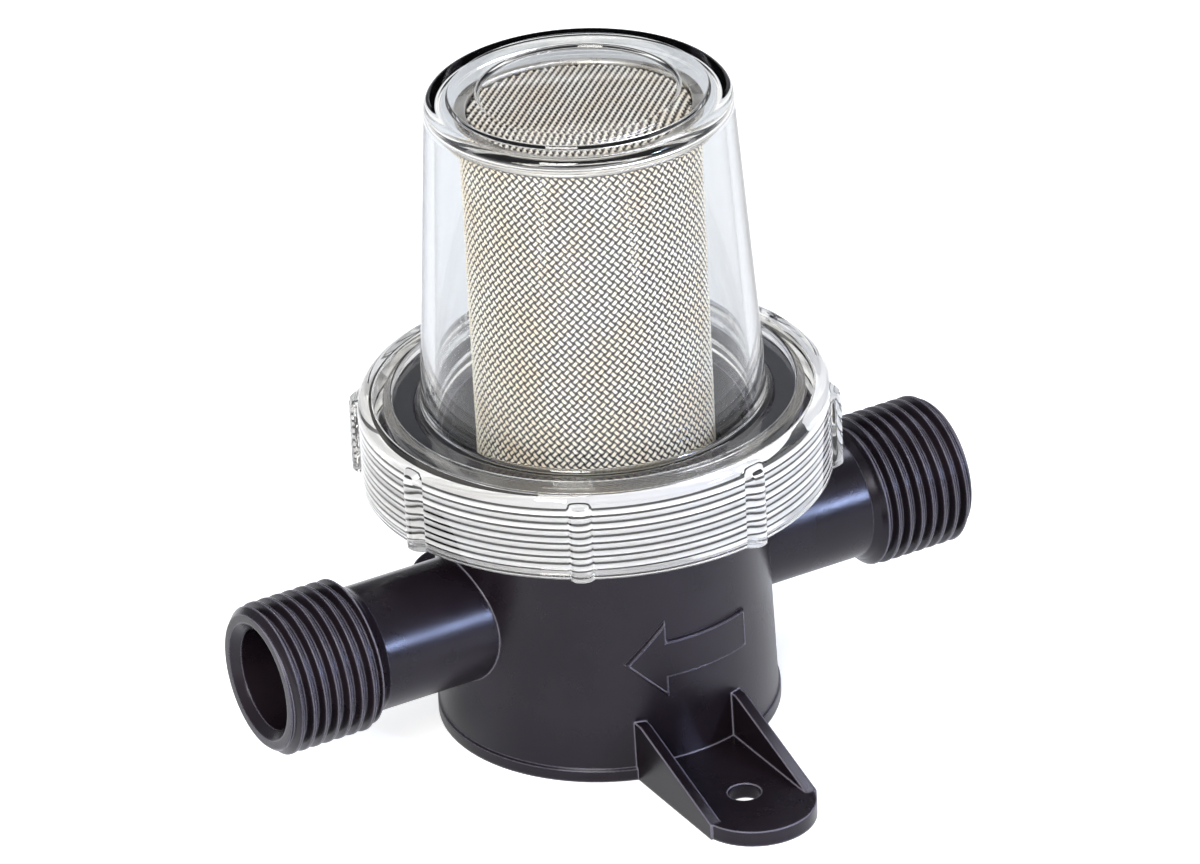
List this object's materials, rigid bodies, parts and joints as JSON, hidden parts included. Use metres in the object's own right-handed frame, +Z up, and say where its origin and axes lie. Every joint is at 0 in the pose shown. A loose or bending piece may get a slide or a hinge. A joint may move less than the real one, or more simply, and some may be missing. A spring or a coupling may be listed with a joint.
{
  "type": "sea water strainer",
  "caption": "Sea water intake strainer: black moulded base with threaded ports and mounting feet, clear screwed bowl and a woven wire filter basket.",
  "frame": {"origin": "centre of the housing's flat underside", "axes": "+Z up along the bowl's axis, +X towards the inlet port (water leaves at -X), the two feet along Y"},
  "size_m": [0.106, 0.094, 0.0919],
  "materials": {
    "moulded_black": "satin moulded",
    "gasket_rubber": "matte",
    "clear_bowl": "clear polished",
    "clear_nut": "clear polished",
    "woven_steel": "bright wire",
    "strip_steel": "rolled strip"
  },
  "bodies": {
    "housing": {"housing": "moulded_black", "gasket": "gasket_rubber", "screen_wall": "woven_steel", "screen_seam": "strip_steel", "screen_top_ring": "strip_steel", "screen_top_mesh": "woven_steel", "screen_bottom_collar": "strip_steel"},
    "bowl": {"bowl": "clear_bowl"},
    "ring_nut": {"ring_nut": "clear_nut"}
  },
  "joints": [
    {"name": "bowl_lift", "type": "slide", "parent": "housing", "child": "bowl", "axis": [0, 0, 1], "range_m": [0, 0.008]},
    {"name": "ring_nut_turn", "type": "hinge", "parent": "bowl", "child": "ring_nut", "pos_m": [0, 0, 0.0355], "axis": [0, 0, 1], "range_deg": [0, 1440]}
  ],
  "couplings": [
    {"joint": "bowl_lift", "follows": "ring_nut_turn", "m_per_rad": 0.00031831}
  ]
}
